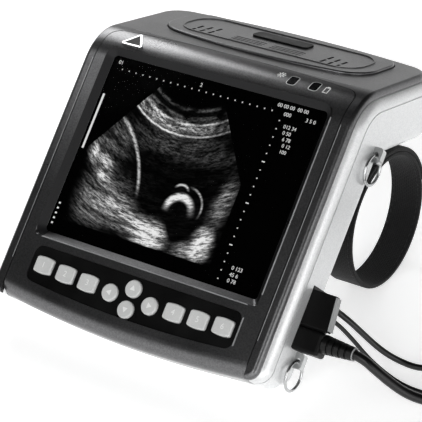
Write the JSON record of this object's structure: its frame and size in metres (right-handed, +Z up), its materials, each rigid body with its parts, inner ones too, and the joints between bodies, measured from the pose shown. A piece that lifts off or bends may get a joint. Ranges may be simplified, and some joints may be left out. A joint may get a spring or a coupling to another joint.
{
  "type": "portable doppler",
  "caption": "Arm-worn scanner unit: leaning screen panel with a row of keys, vented top leg, strap loops, swinging rings, plugged-in probe and power leads.",
  "frame": {"origin": "middle of the unit's bounding box, without its leads, on the table", "axes": "+X to the right of the screen, +Y to the back, +Z up from the table"},
  "size_m": [0.3146, 0.1976, 0.1028],
  "materials": {
    "graphite": "dark grey metallic-look plastic, low sheen",
    "lens": "pale translucent plastic",
    "silver_trim": "satin silver foil, bare of any mark",
    "panel_black": "black membrane, half gloss",
    "key_grey": "pale grey keycaps, smooth",
    "spring_steel": "thin snap-dome sheet",
    "board": "coated circuit board",
    "satin_silver": "silver satin lacquer",
    "black_plastic": "black plastic, fine grain",
    "screen_glass": "clear flat window",
    "display_black": "dark display face",
    "plate_steel": "pressed steel plate",
    "battery_wrap": "shrink film over cells",
    "lug_steel": "cast lug, satin",
    "ring_chrome": "polished split ring",
    "screw_steel": "small steel screw",
    "webbing": "woven black webbing",
    "plug_grey": "pale grey end plate of a plug",
    "black_rubber": "black soft jacket",
    "tie_black": "flat black tie",
    "probe_grey": "smooth pale grey handle"
  },
  "bodies": {
    "unit": {"front_plate": "graphite", "outer_shell": "graphite", "vent_panel": "graphite", "led_lens_power": "lens", "led_lens_charge": "lens", "badge_blank": "silver_trim", "name_plate": "panel_black", "keypad_overlay": "panel_black", "dome_sheet": "spring_steel", "keypad_board": "board", "main_board": "board", "mid_frame": "satin_silver", "back_cover": "satin_silver", "window_lens": "screen_glass", "display_panel": "display_black", "display_carrier": "plate_steel", "battery_pack": "battery_wrap", "connector_bay": "black_plastic", "upper_plug": "black_plastic", "probe_plug": "black_plastic", "plug_end_plate": "plug_grey", "strain_relief": "black_rubber", "probe_lead": "black_rubber", "probe_coil": "black_rubber", "power_lead": "black_rubber", "power_coil": "black_rubber", "thin_lead": "black_rubber", "lead_sleeve": "black_rubber", "probe_tie": "tie_black", "power_tie": "tie_black", "probe_body": "probe_grey", "power_tip": "black_plastic", "lug_upper_left": "lug_steel", "lug_upper_right": "lug_steel", "lug_lower_left": "lug_steel", "lug_lower_right": "lug_steel", "cover_screw_1": "screw_steel", "cover_screw_2": "screw_steel", "cover_screw_3": "screw_steel", "cover_screw_4": "screw_steel", "strap_left": "webbing", "strap_clamp_left": "black_plastic", "clamp_screw_left": "screw_steel", "strap_right": "webbing", "strap_clamp_right": "black_plastic", "clamp_screw_right": "screw_steel"},
    "key_left_1": {"key_left_1": "key_grey"},
    "key_left_2": {"key_left_2": "key_grey"},
    "key_left_3": {"key_left_3": "key_grey"},
    "key_right_1": {"key_right_1": "key_grey"},
    "key_right_2": {"key_right_2": "key_grey"},
    "key_right_3": {"key_right_3": "key_grey"},
    "key_arrow_left": {"key_arrow_left": "key_grey"},
    "key_arrow_right": {"key_arrow_right": "key_grey"},
    "key_arrow_up": {"key_arrow_up": "key_grey"},
    "key_arrow_down": {"key_arrow_down": "key_grey"},
    "ring_upper_left": {"ring_upper_left": "ring_chrome"},
    "ring_upper_right": {"ring_upper_right": "ring_chrome"},
    "ring_lower_left": {"ring_lower_left": "ring_chrome"},
    "ring_lower_right": {"ring_lower_right": "ring_chrome"}
  },
  "joints": [
    {"name": "key_left_1_press", "type": "slide", "parent": "unit", "child": "key_left_1", "axis": [0, 0.6644, -0.7474], "range_m": [0, 0.001], "stiffness_N_per_m": 800},
    {"name": "key_left_2_press", "type": "slide", "parent": "unit", "child": "key_left_2", "axis": [0, 0.6644, -0.7474], "range_m": [0, 0.001], "stiffness_N_per_m": 800},
    {"name": "key_left_3_press", "type": "slide", "parent": "unit", "child": "key_left_3", "axis": [0, 0.6644, -0.7474], "range_m": [0, 0.001], "stiffness_N_per_m": 800},
    {"name": "key_right_1_press", "type": "slide", "parent": "unit", "child": "key_right_1", "axis": [0, 0.6644, -0.7474], "range_m": [0, 0.001], "stiffness_N_per_m": 800},
    {"name": "key_right_2_press", "type": "slide", "parent": "unit", "child": "key_right_2", "axis": [0, 0.6644, -0.7474], "range_m": [0, 0.001], "stiffness_N_per_m": 800},
    {"name": "key_right_3_press", "type": "slide", "parent": "unit", "child": "key_right_3", "axis": [0, 0.6644, -0.7474], "range_m": [0, 0.001], "stiffness_N_per_m": 800},
    {"name": "key_arrow_left_press", "type": "slide", "parent": "unit", "child": "key_arrow_left", "axis": [0, 0.6644, -0.7474], "range_m": [0, 0.001], "stiffness_N_per_m": 800},
    {"name": "key_arrow_right_press", "type": "slide", "parent": "unit", "child": "key_arrow_right", "axis": [0, 0.6644, -0.7474], "range_m": [0, 0.001], "stiffness_N_per_m": 800},
    {"name": "key_arrow_up_press", "type": "slide", "parent": "unit", "child": "key_arrow_up", "axis": [0, 0.6644, -0.7474], "range_m": [0, 0.001], "stiffness_N_per_m": 800},
    {"name": "key_arrow_down_press", "type": "slide", "parent": "unit", "child": "key_arrow_down", "axis": [0, 0.6644, -0.7474], "range_m": [0, 0.001], "stiffness_N_per_m": 800},
    {"name": "ring_upper_left_swing", "type": "hinge", "parent": "unit", "child": "ring_upper_left", "pos_m": [-0.0766, 0.01634, 0.0756], "axis": [0, 0.6644, -0.7474], "range_deg": [0, 100]},
    {"name": "ring_upper_right_swing", "type": "hinge", "parent": "unit", "child": "ring_upper_right", "pos_m": [0.0766, 0.01634, 0.0756], "axis": [0, -0.6644, 0.7474], "range_deg": [0, 100]},
    {"name": "ring_lower_left_swing", "type": "hinge", "parent": "unit", "child": "ring_lower_left", "pos_m": [-0.0766, -0.05497, 0.01222], "axis": [0, 0.6644, -0.7474], "range_deg": [0, 100]},
    {"name": "ring_lower_right_swing", "type": "hinge", "parent": "unit", "child": "ring_lower_right", "pos_m": [0.0766, -0.05497, 0.01222], "axis": [0, -0.6644, 0.7474], "range_deg": [0, 100]}
  ]
}
